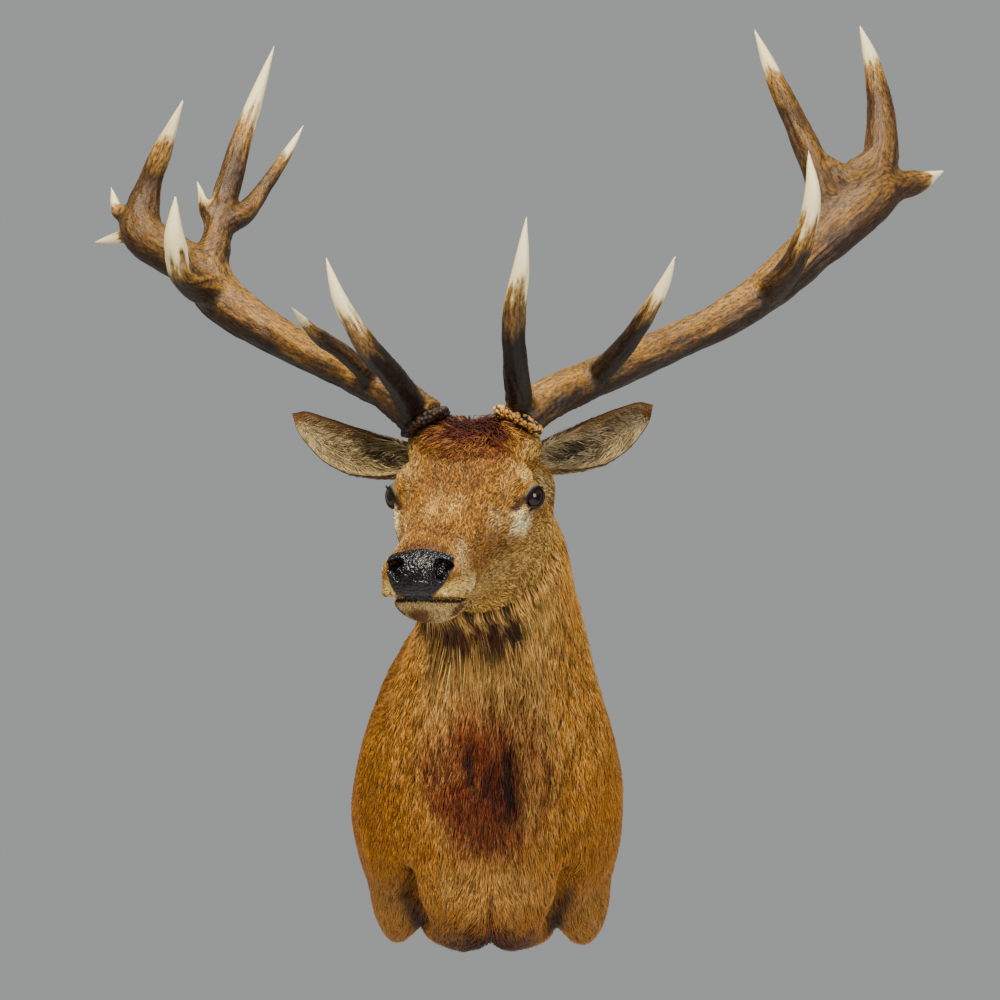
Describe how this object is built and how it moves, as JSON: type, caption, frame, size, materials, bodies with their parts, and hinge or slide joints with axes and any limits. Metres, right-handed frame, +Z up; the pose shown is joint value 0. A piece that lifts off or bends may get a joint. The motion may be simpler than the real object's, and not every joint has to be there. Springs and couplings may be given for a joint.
{
  "type": "red deer stag head mount",
  "caption": "Life-size red deer stag shoulder mount with branching antlers, head turned slightly to its right, on a flat back board that hangs against a wall.",
  "frame": {"origin": "on the back face of the board, in the plane of the wall, on the mount's middle line, level with the middle of the shoulders", "axes": "+Z up the wall; +Y into the wall, so the stag looks along -Y; +X to the stag's own left"},
  "size_m": [1.263, 0.8017, 1.3773],
  "materials": {
    "red_deer_hide": "short dense natural hair, golden to rust brown",
    "antler_bone": "ridged bone, brown with polished ivory tips",
    "glass_eye": "polished dark brown glass eye, opaque",
    "board_plywood": "plain birch plywood"
  },
  "bodies": {
    "root": {"antler_left_bez_tine": "antler_bone", "antler_left_brow_tine": "antler_bone", "antler_left_burr": "antler_bone", "antler_left_crown_web": "antler_bone", "antler_left_inner_crown": "antler_bone", "antler_left_lower_beam": "antler_bone", "antler_left_outer_crown": "antler_bone", "antler_left_palm": "antler_bone", "antler_left_side_spur": "antler_bone", "antler_left_tray_tine": "antler_bone", "antler_right_bez_tine": "antler_bone", "antler_right_brow_tine": "antler_bone", "antler_right_burr": "antler_bone", "antler_right_inner_crown": "antler_bone", "antler_right_inner_point": "antler_bone", "antler_right_inner_spur": "antler_bone", "antler_right_lower_beam": "antler_bone", "antler_right_outer_crown": "antler_bone", "antler_right_side_spur": "antler_bone", "antler_right_tray_tine": "antler_bone", "antler_right_upper_spur": "antler_bone", "back_board": "board_plywood", "chin": "red_deer_hide", "ear_left": "red_deer_hide", "ear_right": "red_deer_hide", "eye_left": "glass_eye", "eye_right": "glass_eye", "foreleg_left": "red_deer_hide", "foreleg_right": "red_deer_hide", "head": "red_deer_hide", "muzzle": "red_deer_hide", "neck": "red_deer_hide", "trunk": "red_deer_hide"}
  },
  "joints": []
}
